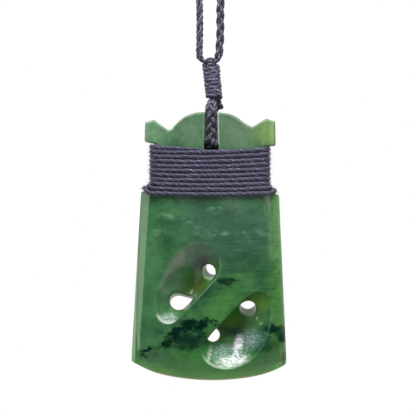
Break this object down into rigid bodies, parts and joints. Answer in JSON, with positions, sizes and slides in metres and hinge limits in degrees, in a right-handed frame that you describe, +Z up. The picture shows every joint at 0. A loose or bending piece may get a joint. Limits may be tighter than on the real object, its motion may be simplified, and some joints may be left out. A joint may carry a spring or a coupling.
{
  "type": "greenstone adze pendant",
  "caption": "Adze-shaped greenstone pendant with carved scoops, lashed at its waist and hung from a plaited cord loop for the neck.",
  "frame": {"origin": "middle of the cord's closure at the nape, where the loop rests on the back of the neck", "axes": "+Z up, opposite to the way the pendant hangs; +X to the viewer's right, across the loop; -Y the pendant's carved front"},
  "size_m": [0.1316, 0.009, 0.3676],
  "materials": {
    "greenstone": "polished",
    "waxed_cord": "waxed, twisted"
  },
  "bodies": {
    "root": {"blade": "greenstone", "lashing": "waxed_cord", "loop_strand_1": "waxed_cord", "loop_strand_2": "waxed_cord", "loop_strand_3": "waxed_cord", "knot_wrap": "waxed_cord", "knot_tuck": "waxed_cord", "neck_cord_left": "waxed_cord", "neck_cord_right": "waxed_cord", "nape_knot": "waxed_cord"}
  },
  "joints": []
}
